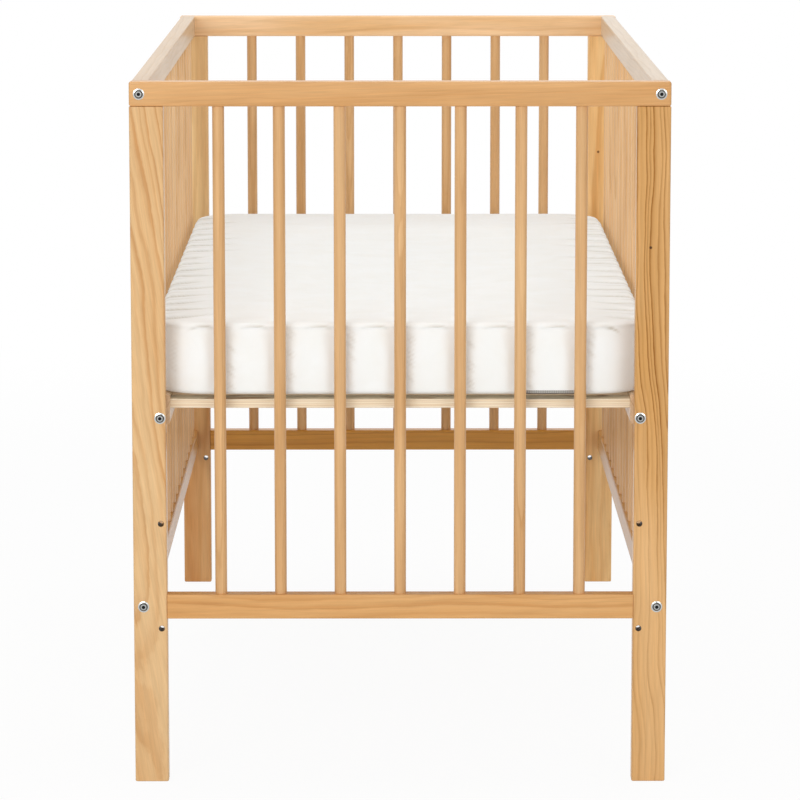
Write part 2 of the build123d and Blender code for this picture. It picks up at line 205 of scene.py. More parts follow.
def pineSurface(tree, output, look, logVector, place):
    patterns = {}
    for name, (scale, detail, rough) in {**pineGrain["patterns"], **look.get("patterns", {})}.items():
        scaled = addNode(tree, "ShaderNodeVectorMath", {0: logVector, 1: scale}, operation="MULTIPLY")
        patterns[name] = addNode(tree, "ShaderNodeTexNoise",
                                 {"Vector": scaled, "Scale": 1, "Detail": detail, "Roughness": rough})
    # growth rings: distance from the pith, bent by long waves and small wobbles, over the ring width
    flat = addNode(tree, "ShaderNodeVectorMath", {0: logVector, 1: (1, 1, 0)}, operation="MULTIPLY")
    reach = addNode(tree, "ShaderNodeVectorMath", {0: flat}, operation="LENGTH").outputs["Value"]
    for name, size in (("wave", look["wave"] * 2), ("jitter", look.get("jitter", pineGrain["jitter"]))):
        reach = addNode(tree, "ShaderNodeMath", {0: patterns[name], 1: size / 1000, 2: reach},
                        operation="MULTIPLY_ADD")
    # good and lean years: rings come wider and closer together
    yearPlace = addNode(tree, "ShaderNodeMath", {0: reach, 1: pineGrain["yearsPerMetre"]},
                        operation="MULTIPLY")
    years = addNode(tree, "ShaderNodeTexNoise", {"W": yearPlace, "Scale": 1, "Detail": 1},
                    noise_dimensions="1D")
    reach = addNode(tree, "ShaderNodeMath", {0: years, 1: pineGrain["yearsShift"], 2: reach},
                    operation="MULTIPLY_ADD")
    ring = addNode(tree, "ShaderNodeMath", {0: reach, 1: look["ringWidth"] / 1000}, operation="DIVIDE")
    number = addNode(tree, "ShaderNodeMath", {0: ring}, operation="FLOOR")
    across = addNode(tree, "ShaderNodeMath", {0: ring}, operation="FRACT")
    ramp = addNode(tree, "ShaderNodeValToRGB", {"Fac": across})
    ramp.color_ramp.interpolation = "EASE"
    greySteps(ramp.color_ramp.elements, pineGrain["ringSteps"])
    # each ring's late wood has a strength of its own
    least, more = pineGrain["ringStrength"]
    luck = addNode(tree, "ShaderNodeTexWhiteNoise", {"W": number}, noise_dimensions="1D")
    strength = addNode(tree, "ShaderNodeMath", {0: luck, 1: more, 2: least}, operation="MULTIPLY_ADD")
    line = addNode(tree, "ShaderNodeMath", {0: ramp, 1: strength}, operation="MULTIPLY")
    # slow change of tone along the piece, which also makes the late wood stronger and weaker
    least, more = pineGrain["toneStrength"]
    toneFit = addNode(tree, "ShaderNodeMapRange",
                      {"Value": patterns["tone"], "From Min": pineGrain["toneSpan"][0],
                       "From Max": pineGrain["toneSpan"][1]})
    strength = addNode(tree, "ShaderNodeMath", {0: toneFit, 1: more, 2: least}, operation="MULTIPLY_ADD")
    line = addNode(tree, "ShaderNodeMath", {0: line, 1: strength}, operation="MULTIPLY")
    if "endToneAndShade" in look:
        # one end of the piece takes more of the deep tone and shows its lines more than the other; on the back
        # left leg this is painted shade
        first, last, weak = look["endToneAndShade"]
        along = addNode(tree, "ShaderNodeSeparateXYZ", {0: place}).outputs[look["along"]]
        dark = addNode(tree, "ShaderNodeMapRange", {"Value": along, "From Min": first, "From Max": last},
                       interpolation_type="SMOOTHSTEP")
        strength = addNode(tree, "ShaderNodeMath", {0: dark, 1: 1 - weak, 2: weak}, operation="MULTIPLY_ADD")
        line = addNode(tree, "ShaderNodeMath", {0: line, 1: strength}, operation="MULTIPLY")
        halfTone = addNode(tree, "ShaderNodeMath", {0: toneFit, 1: 0.5}, operation="MULTIPLY")
        toneFit = addNode(tree, "ShaderNodeMath", {0: dark, 1: 0.5, 2: halfTone}, operation="MULTIPLY_ADD")
    line = addNode(tree, "ShaderNodeMath", {0: line, 1: look["contrast"]}, operation="MULTIPLY")
    wood = linearColour(look["early"])
    for amount, colour in ((toneFit, "deep"), (line, "late")):
        wood = addNode(tree, "ShaderNodeMix", {0: amount, 6: wood, 7: linearColour(look[colour])},
                       data_type="RGBA").outputs[2]
    # fibres and streaks along the piece
    both = addNode(tree, "ShaderNodeMath", {0: patterns["fibre"], 1: patterns["streak"]}, operation="ADD")
    fibreFit = addNode(tree, "ShaderNodeMapRange",
                       {"Value": both, "From Min": 0.7, "From Max": 1.3,
                        "To Min": pineGrain["fibreTint"][0], "To Max": pineGrain["fibreTint"][1]})
    wood = addNode(tree, "ShaderNodeMix", {0: 1.0, 6: wood, 7: fibreFit},
                   data_type="RGBA", blend_type="MULTIPLY").outputs[2]
    lacquer = pineGrain["lacquer"]
    for spot in look.get("spots", []):
        # a pin knot, or painted shade on the inside of a drilled hole, which has less lacquer
        fromSpot = addNode(tree, "ShaderNodeVectorMath", {0: place, 1: spot["place"]}, operation="SUBTRACT")
        fromSpot = addNode(tree, "ShaderNodeVectorMath", {0: fromSpot, 1: spot["reach"]},
                           operation="MULTIPLY")
        far = addNode(tree, "ShaderNodeVectorMath", {0: fromSpot}, operation="LENGTH").outputs["Value"]
        inside = addNode(tree, "ShaderNodeMapRange",
                         {"Value": far, "From Min": spot["radius"] + spot["edge"], "From Max": spot["radius"],
                          "To Min": 0.0, "To Max": spot["strength"]})
        wood = addNode(tree, "ShaderNodeMix", {0: inside, 6: wood, 7: linearColour(spot["colour"])},
                       data_type="RGBA").outputs[2]
        outside = addNode(tree, "ShaderNodeMath", {0: 1.0, 1: inside}, operation="SUBTRACT")
        lacquer = addNode(tree, "ShaderNodeMath", {0: lacquer, 1: outside}, operation="MULTIPLY")
    height = addNode(tree, "ShaderNodeMath", {0: line, 1: pineGrain["ringRelief"], 2: patterns["fibre"]},
                     operation="MULTIPLY_ADD")
    bump = addNode(tree, "ShaderNodeBump", {"Height": height, "Strength": pineGrain["relief"],
                                            "Distance": pineGrain["reliefDepth"]})
    shine = addNode(tree, "ShaderNodeMapRange",
                    {"Value": patterns["fibre"], "From Min": 0.3, "From Max": 0.7,
                     "To Min": pineGrain["roughness"][0], "To Max": pineGrain["roughness"][1]})
    surface = addNode(
        tree, "ShaderNodeBsdfPrincipled",
        {"Base Color": wood, "Roughness": shine, "IOR": 1.5, "Specular IOR Level": 0.15, "Normal": bump,
         "Coat Weight": lacquer, "Coat Roughness": pineGrain["lacquerRoughness"], "Coat IOR": 1.5},
    )
    tree.links.new(surface.outputs[0], output.inputs["Surface"])


def lacqueredPine(name, look):
    material, tree, output = newMaterial(name)
    place = addNode(tree, "ShaderNodeTexCoord").outputs["Object"]
    location, turn = logPlacement(look)
    logVector = addNode(tree, "ShaderNodeMapping", {"Vector": place, "Location": location, "Rotation": turn})
    if "cell" in look:
        # one material for a row of bars: each bar lies in its own cell, which moves its pith and its tone
        cell = addNode(tree, "ShaderNodeVectorMath", {0: place, 1: look["cell"]}, operation="DIVIDE")
        cell = addNode(tree, "ShaderNodeVectorMath", {0: cell, 1: (0.5, 0.5, 0.5)}, operation="ADD")
        cell = addNode(tree, "ShaderNodeVectorMath", {0: cell}, operation="FLOOR")
        luck = addNode(tree, "ShaderNodeTexWhiteNoise", {"Vector": cell}, noise_dimensions="3D")
        shift = addNode(tree, "ShaderNodeVectorMath", {0: luck.outputs["Color"], 1: look["scatter"]},
                        operation="MULTIPLY")
        logVector = addNode(tree, "ShaderNodeVectorMath", {0: logVector, 1: shift}, operation="ADD")
    pineSurface(tree, output, look, logVector, place)
    return material


def dress(nodeNames, material):
    for name in nodeNames:
        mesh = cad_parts[name].data
        mesh.materials.clear()
        mesh.materials.append(material)


def middleOf(node):
    low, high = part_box(node)
    return tuple((a + b) / 2 for a, b in zip(low, high))


# one row for each piece of wood: where its pith lies in millimetres, how it leans in degrees, ring width,
# how far the rings wander in millimetres, how strong the late wood shows, and its three colours; a last
# entry, where given, says from where to where along the piece the deep tone comes in, and how strong the lines
# are before;
# on the back left leg it is painted shade, with its colours: dark low down and pale above
woodPieces = {
    "front_left_leg": {"along": "Z", "pith": (50, 66), "lean": (2.0, 9.0), "ringWidth": 8, "wave": 15,
                       "contrast": 0.62, "early": "#E7C08C", "deep": "#DEAF76", "late": "#BC782C",
                       "jitter": 3.4, "patterns": {"jitter": ((150, 150, 40), 3, 0.6)}},
    "front_right_leg": {"along": "Z", "pith": (-62, 40), "lean": (1.0, 1.2), "ringWidth": 5.2, "wave": 15,
                        "contrast": 1.0, "early": "#E8B97F", "deep": "#D59E58", "late": "#9A6010",
                        "endToneAndShade": (0.22, 0.5, 0.42)},
    # painted shade: the back left leg is dark low down, where the mattress shades it, and pale above
    "back_left_leg": {"along": "Z", "pith": (40, 80), "lean": (1.8, 0.8), "ringWidth": 8, "wave": 8,
                      "contrast": 0.36, "early": "#CA8A4A", "deep": "#FFDCA2", "late": "#C78433",
                      "endToneAndShade": (0.3, 0.6, 0.8)},
    "back_right_leg": {"along": "Z", "pith": (-30, 90), "lean": (-1.5, 1.0), "ringWidth": 8, "wave": 8,
                       "contrast": 0.6, "early": "#FFD79B", "deep": "#F3BE7A", "late": "#CF8B3D"},
    "front_top_rail": {"along": "X", "pith": (120, 70), "lean": (1.2, 2.0), "ringWidth": 6, "wave": 9,
                       "contrast": 0.28, "early": "#E0AD73", "deep": "#D39B5D", "late": "#BB7B39"},
    "back_top_rail": {"along": "X", "pith": (90, 60), "lean": (2.0, 2.0), "ringWidth": 9, "wave": 10,
                      "contrast": 0.35, "early": "#F7CFA1", "deep": "#EBBB81", "late": "#D0924E"},
    "front_bottom_rail": {"along": "X", "pith": (60, 80), "lean": (1.0, 1.5), "ringWidth": 7, "wave": 8,
                          "contrast": 0.45, "early": "#E4B173", "deep": "#D99F5E", "late": "#BC7B37"},
    "back_bottom_rail": {"along": "X", "pith": (90, 50), "lean": (1.0, 1.2), "ringWidth": 6, "wave": 7,
                         "contrast": 0.5, "early": "#DEA248", "deep": "#D19137", "late": "#AD6B19"},
    # painted sheen: the two side top rails are coloured paler and greyer than the other pieces, for the
    # lacquer's shine on them at a low angle
    "left_side_top_rail": {"along": "Y", "pith": (70, 60), "lean": (0.8, 0.8), "ringWidth": 5, "wave": 6,
                           "contrast": 0.35, "early": "#DABD99", "deep": "#D0AE85", "late": "#B68951"},
    "right_side_top_rail": {"along": "Y", "pith": (60, 75), "lean": (0.9, 1.0), "ringWidth": 5, "wave": 6,
                            "contrast": 0.35, "early": "#DEC8AD", "deep": "#D5BB9A", "late": "#BC9668"},
    "left_side_bottom_rail": {"along": "Y", "pith": (80, 70), "lean": (0.8, 1.2), "ringWidth": 5.5, "wave": 6,
                              "contrast": 0.35, "early": "#D7A462", "deep": "#CB9451", "late": "#B1742D"},
    "right_side_bottom_rail": {"along": "Y", "pith": (75, 66), "lean": (1.0, 0.8), "ringWidth": 5, "wave": 6,
                               "contrast": 0.35, "early": "#D7A462", "deep": "#CB9451", "late": "#B1742D"},
    "left_base_rail": {"along": "Y", "pith": (35, 25), "lean": (0.5, 0.5), "ringWidth": 3.2, "wave": 3,
                       "contrast": 0.55, "early": "#E6C8A4", "deep": "#DCBB93", "late": "#B98F62"},
    "right_base_rail": {"along": "Y", "pith": (-30, 28), "lean": (0.5, 0.6), "ringWidth": 3.2, "wave": 3,
                        "contrast": 0.55, "early": "#E6C8A4", "deep": "#DCBB93", "late": "#B98F62"},
}
# pin knots in two legs, and painted shade on the wall of each bolt hole, for the shade inside it: middle,
# share of each direction that counts, radius, soft edge, strength and colour
knots = {
    "front_right_leg": {"place": (0.3017, -0.625, 0.660), "reach": (1, 0.3, 1), "radius": 0.0013,
                        "edge": 0.0008, "strength": 0.95, "colour": "#4A2A14"},
    "back_right_leg": {"place": (0.3002, 0.603, 0.657), "reach": (1, 0.3, 1), "radius": 0.0014,
                       "edge": 0.0008, "strength": 0.9, "colour": "#5A3418"},
}
boltPlaces = {
    "sideX": 0.313, "sideLevels": (0.219, 0.845),
    "baseX": 0.291, "baseLevels": (0.192, 0.322, 0.452),  # the base bolts are in the highest of these
}
# painted shade: each bolt hole's wall is coloured near black for the shade inside the hole
holeShade = {"reach": (1, 0, 1), "radius": 0.0036, "edge": 0.0003, "strength": 0.95, "colour": "#2E180A"}
for node, look in woodPieces.items():
    spots = [knots[node]] if node in knots else []
    if node.endswith("_leg"):
        holeX = math.copysign(boltPlaces["baseX"], middleOf(node)[0])
        spots += [{**holeShade, "place": (holeX, 0, level)} for level in boltPlaces["baseLevels"]]
    dress([node], lacqueredPine("lacquered pine, planed, " + node.replace("_", " "),
                                {**look, "centre": middleOf(node), "spots": spots}))

# turned bars: one look, scattered from bar to bar; the side bars are coloured paler, as painted light on their
# inner faces
barLook = {"along": "Z", "pith": (40, 40), "lean": (0.6, 0.5), "ringWidth": 4.5, "wave": 5, "contrast": 0.5,
           "early": "#E5B984", "deep": "#D7A66F", "late": "#BA8343", "centre": (0, 0, 0.53)}
barScatter = (0.05, 0.05, 0.7)
sideBarCount = 17
endBars = [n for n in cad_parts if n.startswith(("front_bar_", "back_bar_"))]
endBarPlaces = [middleOf(n)[0] for n in sorted(endBars) if n.startswith("front_bar_")]
sideLow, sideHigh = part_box("left_side_bars")
sideBarPitch = (sideHigh[1] - sideLow[1] - (sideHigh[0] - sideLow[0])) / (sideBarCount - 1)
sideBarPlaces = [(i - (sideBarCount - 1) / 2) * sideBarPitch for i in range(sideBarCount)]
endCell = (endBarPlaces[1] - endBarPlaces[0], 0.9, 4.0)
sideCell = (0.45, sideBarPitch, 4.0)
dress(endBars, lacqueredPine("lacquered pine, turned end bars",
                             {**barLook, "cell": endCell, "scatter": barScatter}))
# painted light: the side bars take paler colours than the end bars
dress(["left_side_bars", "right_side_bars"],
      lacqueredPine("lacquered pine, turned side bars",
                    {**barLook, "early": "#F5CC99", "deep": "#E9B983", "late": "#C9924E",
                     "cell": sideCell, "scatter": barScatter}))
dress(["corner_pins"], lacqueredPine("beech, turned pins", {**barLook, "contrast": 0.2}))


# ---- birch plywood slats: pale face veneer with fine grain along the slat, and thin ply lines on the edges
def birchPlywood(name, look):
    material, tree, output = newMaterial(name)
    place = addNode(tree, "ShaderNodeTexCoord").outputs["Object"]
    parts = addNode(tree, "ShaderNodeSeparateXYZ", {0: place}).outputs
    # plies are counted from the underside, and they sway a little along the slat
    plies = addNode(tree, "ShaderNodeMath", {0: parts["Z"], 1: look["bottom"]}, operation="SUBTRACT")
    plies = addNode(tree, "ShaderNodeMath", {0: plies, 1: look["thickness"] / look["plyCount"]},
                    operation="DIVIDE")
    plies = addNode(tree, "ShaderNodeMath", {0: plies, 1: look["swayBack"]}, operation="SUBTRACT")
    swayPlace = addNode(tree, "ShaderNodeVectorMath", {0: place, 1: look["swayScale"]}, operation="MULTIPLY")
    sway = addNode(tree, "ShaderNodeTexNoise",
                   {"Vector": swayPlace, "Scale": 1, "Detail": 2, "Roughness": 0.5})
    plies = addNode(tree, "ShaderNodeMath", {0: sway, 1: look["sway"], 2: plies}, operation="MULTIPLY_ADD")
    number = addNode(tree, "ShaderNodeMath", {0: plies}, operation="FLOOR")
    alternate = addNode(tree, "ShaderNodeMath", {0: number, 1: 2.0}, operation="MODULO")
    crossShare = addNode(tree, "ShaderNodeMath", {0: alternate, 1: look["crossShare"]}, operation="MULTIPLY")
    fromGlue = addNode(tree, "ShaderNodeMath", {0: plies, 1: 0.5}, operation="PINGPONG")
    glueLine = addNode(
        tree, "ShaderNodeMapRange",
        {"Value": fromGlue, "From Min": 0.0, "From Max": look["glueWidth"], "To Min": 0.75, "To Max": 0.0},
    )
    # fine grain, which starts at another place on each slat
    slat = addNode(tree, "ShaderNodeMath", {0: parts["Y"], 1: look["pitch"]}, operation="DIVIDE")
    slat = addNode(tree, "ShaderNodeMath", {0: slat}, operation="FLOOR")
    luck = addNode(tree, "ShaderNodeTexWhiteNoise", {"W": slat}, noise_dimensions="1D")
    start = addNode(tree, "ShaderNodeMath", {0: luck, 1: 3.0}, operation="MULTIPLY")
    offset = addNode(tree, "ShaderNodeCombineXYZ", {"X": start})
    grainPlace = addNode(tree, "ShaderNodeVectorMath", {0: place, 1: offset}, operation="ADD")
    grainPlace = addNode(tree, "ShaderNodeVectorMath", {0: grainPlace, 1: look["grainScale"]},
                         operation="MULTIPLY")
    grain = addNode(tree, "ShaderNodeTexNoise",
                    {"Vector": grainPlace, "Scale": 1, "Detail": 4, "Roughness": 0.6})
    grainFit = addNode(tree, "ShaderNodeMapRange", {"Value": grain, "From Min": 0.35, "From Max": 0.7})
    veneer = linearColour(look["pale"])
    for amount, colour in ((grainFit, "brown"), (crossShare, "crossPly"), (glueLine, "glue")):
        veneer = addNode(tree, "ShaderNodeMix", {0: amount, 6: veneer, 7: linearColour(look[colour])},
                         data_type="RGBA").outputs[2]
    bump = addNode(tree, "ShaderNodeBump", {"Height": grain, "Strength": 0.2, "Distance": 0.0002})
    surface = addNode(tree, "ShaderNodeBsdfPrincipled",
                      {"Base Color": veneer, "Roughness": 0.55, "IOR": 1.5, "Normal": bump})
    tree.links.new(surface.outputs[0], output.inputs["Surface"])
    return material


slats = sorted(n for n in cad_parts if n.startswith("slat_"))
slatLow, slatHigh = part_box(slats[0])
plywoodLook = {
    "bottom": slatLow[2], "thickness": slatHigh[2] - slatLow[2], "pitch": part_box(slats[1])[0][1] - slatLow[1],
    "plyCount": 5, "glueWidth": 0.12, "sway": 3.2, "swayBack": 1.9, "swayScale": (7, 16, 0),
    "grainScale": (9, 260, 260), "crossShare": 0.3,
    "pale": "#FCEFD6", "brown": "#F4E0BE", "crossPly": "#E3C194", "glue": "#A9753F",
}
dress(slats, birchPlywood("birch plywood, sanded", plywoodLook))


# ---- zinc plated steel, with painted light on the bolt heads: bright flange and crown, a shoulder between them darkened as painted reflection, and a socket painted black for its shade
zincLook = {
    "colours": ("#D9DAD8", "#BFC1BF"), "roughness": (0.16, 0.3), "specksPerMetre": 1800,
    # painted reflection and painted shade, by distance from the axis in millimetres: socket, crown, shoulder,
    # groove, flange
    "paintedBoltTones": ((0.0, 0.02), (2.0, 0.03), (2.35, 0.75), (3.2, 0.7), (3.7, 0.22), (5.0, 0.16), (5.5, 0.95),
                  (6.8, 1.0)),
    "nutTones": ((0.0, 0.8), (8.0, 0.8)), "widest": 8,
}


def zincPlatedSteel(name, axisX, levels, tones):
    material, tree, output = newMaterial(name)
    place = addNode(tree, "ShaderNodeTexCoord").outputs["Object"]
    scale = (zincLook["specksPerMetre"],) * 3
    speckPlace = addNode(tree, "ShaderNodeVectorMath", {0: place, 1: scale}, operation="MULTIPLY")
    speck = addNode(tree, "ShaderNodeTexNoise", {"Vector": speckPlace, "Scale": 1, "Detail": 2})
    bright, dull = (linearColour(colour) for colour in zincLook["colours"])
    tint = addNode(tree, "ShaderNodeMix", {0: speck, 6: bright, 7: dull}, data_type="RGBA").outputs[2]
    rough = addNode(tree, "ShaderNodeMapRange",
                    {"Value": speck, "To Min": zincLook["roughness"][0], "To Max": zincLook["roughness"][1]})
    # distance from the nearest bolt's axis
    parts = addNode(tree, "ShaderNodeSeparateXYZ", {0: place}).outputs
    aside = addNode(tree, "ShaderNodeMath", {0: parts["X"]}, operation="ABSOLUTE")
    aside = addNode(tree, "ShaderNodeMath", {0: aside, 1: axisX}, operation="SUBTRACT")
    above = None
    for level in levels:
        apart = addNode(tree, "ShaderNodeMath", {0: parts["Z"], 1: level}, operation="SUBTRACT")
        apart = addNode(tree, "ShaderNodeMath", {0: apart}, operation="ABSOLUTE")
        if above is not None:
            apart = addNode(tree, "ShaderNodeMath", {0: above, 1: apart}, operation="MINIMUM")
        above = apart
    fromAxis = addNode(tree, "ShaderNodeCombineXYZ", {"X": aside, "Z": above})
    radius = addNode(tree, "ShaderNodeVectorMath", {0: fromAxis}, operation="LENGTH").outputs["Value"]
    share = addNode(tree, "ShaderNodeMath", {0: radius, 1: zincLook["widest"] / 1000}, operation="DIVIDE")
    # painted reflection and painted shade on the bolt heads, by distance from the axis
    ramp = addNode(tree, "ShaderNodeValToRGB", {"Fac": share})
    greySteps(ramp.color_ramp.elements, [(away / zincLook["widest"], tone) for away, tone in tones])
    tint = addNode(tree, "ShaderNodeMix", {0: 1.0, 6: tint, 7: ramp},
                   data_type="RGBA", blend_type="MULTIPLY").outputs[2]
    surface = addNode(tree, "ShaderNodeBsdfPrincipled",
                      {"Base Color": tint, "Metallic": 1.0, "Roughness": rough})
    tree.links.new(surface.outputs[0], output.inputs["Surface"])
    return material


dress(["side_panel_bolts"],
      zincPlatedSteel("zinc plated steel, pressed, side bolts",
                      boltPlaces["sideX"], boltPlaces["sideLevels"], zincLook["paintedBoltTones"]))
dress(["front_base_bolts", "back_base_bolts"],
      zincPlatedSteel("zinc plated steel, pressed, base bolts",
                      boltPlaces["baseX"], boltPlaces["baseLevels"][2:], zincLook["paintedBoltTones"]))
dress(["side_panel_barrel_nuts", "base_barrel_nuts"],
      zincPlatedSteel("zinc plated steel, turned", 0.0, (0.0,), zincLook["nutTones"]))
print("wood, plywood and steel dressed")


# ---- mattress: foam in a white knitted cover, which swells between the bars and creases over its edges
low, high = (np.array(corner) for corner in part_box("mattress"))
mattressLook = {
    "cornerRadius": 0.068, "endStep": 0.0023, "sideStep": 0.0026, "seed": 7,
    "bottomRound": 0.007, "topRound": 0.012, "sideFullness": 0.003, "dish": 0.005,
    # strengths of painted shade come below for the recesses, the lower edge, the flank wrinkles, the creases
    # and the arches
    "recessDepth": 0.0031, "recessFlat": 0.004, "recessReach": 0.0185, "recessShade": 0.05,
    "recessTop": 0.011, "recessBottom": 0.010, "archWiden": 0.45, "edgeShade": 0.5,
    "wrinkleSpacing": 0.0085, "wrinkleAside": 0.013, "wrinkleShade": 0.36, "legPlace": -0.29,
    "creaseDepth": 0.0064, "creaseLength": 0.080, "creaseSlants": (0.42, 0.2), "creaseShade": 1.3,
    "creaseFall": (0.012, 0.0030), "creaseShadeFall": (0.0068, 0.0020), "betweenShare": 0.3,
    "archDepth": 0.0025, "archShade": 0.75, "outerArchShade": 0.95, "cornerPlace": 0.275,
    # long soft folds on the top: start, end, depth and width
    "folds": (
        ((-0.20, -0.590), (-0.13, -0.560), 0.0016, 0.006), ((-0.17, -0.575), (0.02, -0.50), 0.0010, 0.012),
        ((0.03, -0.588), (0.12, -0.570), 0.0012, 0.006), ((0.16, -0.58), (0.25, -0.52), 0.0010, 0.010),
    ),
}


def planOutline(look):
    # a rounded rectangle walked at two step lengths: fine along the ends, coarser along the sides
    radius = look["cornerRadius"]
    halfX, halfY = high[0], high[1]
    steps = np.linspace(0, math.pi / 2, 24)
    corners = [(halfX - radius, halfY - radius, 0), (radius - halfX, halfY - radius, 1),
               (radius - halfX, radius - halfY, 2), (halfX - radius, radius - halfY, 3)]
    quarters = [np.stack([np.cos(steps + q * math.pi / 2), np.sin(steps + q * math.pi / 2)], 1)
                for _, _, q in corners]
    points = np.concatenate([np.array([x, y]) + radius * arc for (x, y, _), arc in zip(corners, quarters)])
    normals = np.concatenate(quarters)
    points = np.vstack([points, points[:1]])
    normals = np.vstack([normals, normals[:1]])
    gaps = np.linalg.norm(np.diff(points, axis=0), axis=1)
    onSide = np.abs(normals[:-1, 0]) > 0.999
    cost = gaps / np.where(onSide & (np.abs(normals[1:, 0]) > 0.999), look["sideStep"], look["endStep"])
    walk = np.concatenate([[0], np.cumsum(cost)])
    count = int(round(walk[-1]))
    at = np.linspace(0, walk[-1], count, endpoint=False)
    outline = np.stack([np.interp(at, walk, points[:, k]) for k in (0, 1)], 1)
    facing = np.stack([np.interp(at, walk, normals[:, k]) for k in (0, 1)], 1)
    return outline, facing / np.linalg.norm(facing, axis=1, keepdims=True)


def mattressSection(look):
    # from the middle of the underside, round the edge, up the side and in to the middle of the top:
    # how far in from the outline, how high, and how much the ring is shrunk towards the middle
    bottomRound, topRound = look["bottomRound"], look["topRound"]
    bottomZ, topZ = low[2], high[2]
    rows = [(0.06, bottomZ, k) for k in (0.12, 0.35, 0.6, 0.82)]
    rows += [(t, bottomZ, 1.0) for t in np.linspace(0.06, bottomRound, 5)]
    angles = np.linspace(0, math.pi / 2, 7)[1:]
    rows += [(bottomRound * (1 - math.sin(a)), bottomZ + bottomRound * (1 - math.cos(a)), 1.0)
             for a in angles]
    rows += [(0.0, z, 1.0) for z in np.linspace(bottomZ + bottomRound, topZ - topRound, 24)[1:]]
    angles = np.linspace(0, math.pi / 2, 9)[1:]
    rows += [(topRound * (1 - math.cos(a)), topZ - topRound * (1 - math.sin(a)), 1.0) for a in angles]
    rows += [(t, topZ, 1.0) for t in np.linspace(topRound, 0.06, 17)[1:]]
    rows += [(0.06, topZ, k) for k in (0.965, 0.93, 0.89, 0.84, 0.78, 0.7, 0.58, 0.42, 0.25, 0.1)]
    return np.array(rows)


def smooth(value, start, end):
    t = np.clip((value - start) / (end - start), 0, 1)
    return t * t * (3 - 2 * t)


def recessAt(position, places, look, widen=1.0):
    # 1 behind a bar, 0 in the middle of a gap
    away = np.min(np.abs(position[..., None] - np.array(places)), axis=-1) / widen
    return 1 - smooth(away, look["recessFlat"], look["recessReach"])


def flankWrinkleShade(x, z, look):
    # painted shade: fine slanting wrinkles drawn as darker bands on the left flank of each bulge, where the bar
    # shades it: a bent sine wave, in patches from a second one
    waves = np.sin(2 * np.pi * (0.8 * x + z) / look["wrinkleSpacing"] + 3 * np.sin(x * 41 + z * 70))
    patches = np.sin(x * 83 + z * 95 + 2 * np.sin(z * 160 + x * 19))
    places = np.array([look["legPlace"]] + endBarPlaces) + look["wrinkleAside"]
    flank = np.min(np.abs(x[..., None] - places), axis=-1)
    return (0.4 + 0.4 * waves) * (0.5 + 0.5 * patches) * smooth(flank, 0.009, 0.002)


def creaseFall(ahead, front, back):
    # 1 on the crease's line, an exponential fall in front of it and a bell behind it
    return np.where(ahead > 0, np.exp(-np.clip(ahead, 0, 1) / front), np.exp(-(ahead / back) ** 2))


def sideCreases(x, y, z, look, rng):
    # creases across the long edges at each side bar, and weaker ones between bars: each runs along a
    # slanting, slightly bent line and fades out towards the middle of the mattress, with painted shade along it
    halfways = [(a + b) / 2 for a, b in zip(sideBarPlaces, sideBarPlaces[1:])]
    creases = [(p, 1.0) for p in sideBarPlaces] + [(p, look["betweenShare"]) for p in halfways]
    deeper, tint = np.zeros_like(x), np.zeros_like(x)
    for side, slant in zip((-1, 1), look["creaseSlants"]):
        inward = high[0] - side * x
        for place, share in creases:
            lean = slant * rng.uniform(0.7, 1.3)
            reachIn = look["creaseLength"] * rng.uniform(0.6, 1.25) * (0.6 + 0.4 * share)
            deep = look["creaseDepth"] * rng.uniform(0.7, 1.15) * share
            line = place + rng.uniform(-0.004, 0.004) + lean * inward
            ahead = line + 0.003 * np.sin(inward * 70 + place * 40) - y
            fade = smooth(inward, reachIn, 0.006)
            deeper += deep * fade * creaseFall(ahead, *look["creaseFall"])
            # painted shade along the crease
            tint += look["creaseShade"] * share * fade * creaseFall(ahead, *look["creaseShadeFall"])
    return deeper, tint * smooth(z, high[2] - 0.03, high[2] - 0.008)


def endArches(x, y, z, look, rng):
    # a crease over each bulge at the ends, with painted shade along it: a parabola round the bulge's middle,
    # rising to the right
    edges = [-look["cornerPlace"]] + endBarPlaces + [look["cornerPlace"]]
    deeper, tint = np.zeros_like(x), np.zeros_like(x)
    for end in (-1, 1):
        inward = high[1] - end * y
        below = (high[2] - z) - np.maximum(inward, 0) + 0.003
        for number, (first, last) in enumerate(zip(edges, edges[1:])):
            middle = (first + last) / 2 + rng.uniform(-0.002, 0.004)
            bow = (x - middle - 0.003) / 0.018
            path = 0.0028 + 0.0042 * bow ** 2 - 0.0014 * bow
            shape = np.exp(-((below - path) / 0.0022) ** 2) * smooth(np.abs(bow), 1.25, 0.5) * (inward < 0.05)
            deeper += look["archDepth"] * shape
            outer = number in (0, len(edges) - 2)
            # painted shade along the arch, stronger over the outer bulges
            tint += look["outerArchShade" if outer else "archShade"] * shape * smooth(bow, -1.2, 0.9)
    return deeper, tint


def topFolds(x, y, look):
    # each fold is a bell across its line and fades at both of its ends
    deeper = np.zeros_like(x)
    for (startX, startY), (endX, endY), deep, wide in look["folds"]:
        alongX, alongY = endX - startX, endY - startY
        size = math.hypot(alongX, alongY)
        at = ((x - startX) * alongX + (y - startY) * alongY) / size ** 2
        away = ((x - startX) * alongY - (y - startY) * alongX) / size
        deeper += deep * np.exp(-(away / wide) ** 2) * smooth(at, -0.1, 0.3) * smooth(at, 1.1, 0.7)
    return deeper


